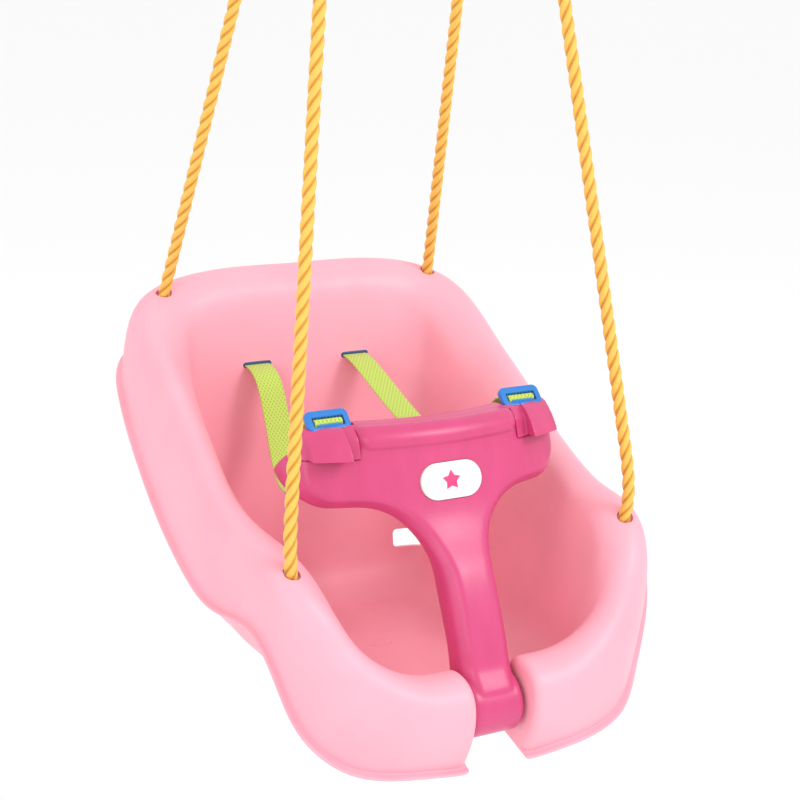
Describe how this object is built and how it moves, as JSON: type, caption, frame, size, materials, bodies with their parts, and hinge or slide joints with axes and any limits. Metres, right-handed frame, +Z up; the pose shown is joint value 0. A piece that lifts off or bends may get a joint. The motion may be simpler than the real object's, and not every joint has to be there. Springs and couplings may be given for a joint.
{
  "type": "toddler bucket swing",
  "caption": "Moulded bucket seat for a toddler, hung on two ropes from rings, with a hinged T-shaped guard, shoulder straps and buckles that unplug.",
  "frame": {"origin": "middle of the axis through the lower bars of the two rings, from which the seat hangs", "axes": "+Z up; +X to the right of someone who faces the front of the seat; +Y towards the backrest"},
  "size_m": [0.3772, 0.4423, 0.9923],
  "materials": {
    "seat_pink": "satin moulded polyethylene, light pink",
    "guard_magenta": "satin moulded polyethylene, deep pink",
    "badge_white": "glossy cream plate",
    "badge_accent": "raised pink emblem",
    "clamp_plastic": "white moulded sleeve",
    "rope_yellow": "twisted polypropylene rope, yellow-orange",
    "zinc_steel": "zinc plated",
    "cap_plastic": "black push-on cap",
    "webbing_green": "lime green woven webbing",
    "anchor_blue": "dark blue moulded slide",
    "buckle_blue": "bright blue moulded plastic"
  },
  "bodies": {
    "hangers": {"ring_left": "zinc_steel", "ring_right": "zinc_steel"},
    "seat": {"seat_shell": "seat_pink", "hinge_axle": "zinc_steel", "axle_cap_left": "cap_plastic", "axle_cap_right": "cap_plastic", "shoulder_strap_left": "webbing_green", "shoulder_strap_right": "webbing_green", "strap_anchor_left": "anchor_blue", "strap_anchor_right": "anchor_blue", "rope_left": "rope_yellow", "rope_right": "rope_yellow", "rope_clamp_left": "clamp_plastic", "rope_clamp_right": "clamp_plastic", "rope_knot_rear_left": "rope_yellow", "rope_knot_rear_right": "rope_yellow", "rope_knot_front_left": "rope_yellow", "rope_knot_front_right": "rope_yellow"},
    "t_bar": {"t_bar": "guard_magenta", "latch_hood_left": "guard_magenta", "latch_hood_right": "guard_magenta", "badge_plate": "badge_white", "badge_emblem": "badge_accent"},
    "buckle_left": {"buckle_left": "buckle_blue"},
    "buckle_right": {"buckle_right": "buckle_blue"}
  },
  "joints": [
    {"name": "swing_pivot", "type": "hinge", "parent": "hangers", "child": "seat", "pos_m": [0, 0, 0], "axis": [1, 0, 0], "range_deg": [-45, 45]},
    {"name": "t_bar_hinge", "type": "hinge", "parent": "seat", "child": "t_bar", "pos_m": [0, -0.16463, -0.8991], "axis": [1, 0, 0], "range_deg": [0, 150]},
    {"name": "buckle_left_release", "type": "slide", "parent": "seat", "child": "buckle_left", "axis": [0, 0.0659, 0.9978], "range_m": [0, 0.03]},
    {"name": "buckle_right_release", "type": "slide", "parent": "seat", "child": "buckle_right", "axis": [0, 0.0659, 0.9978], "range_m": [0, 0.03]}
  ]
}
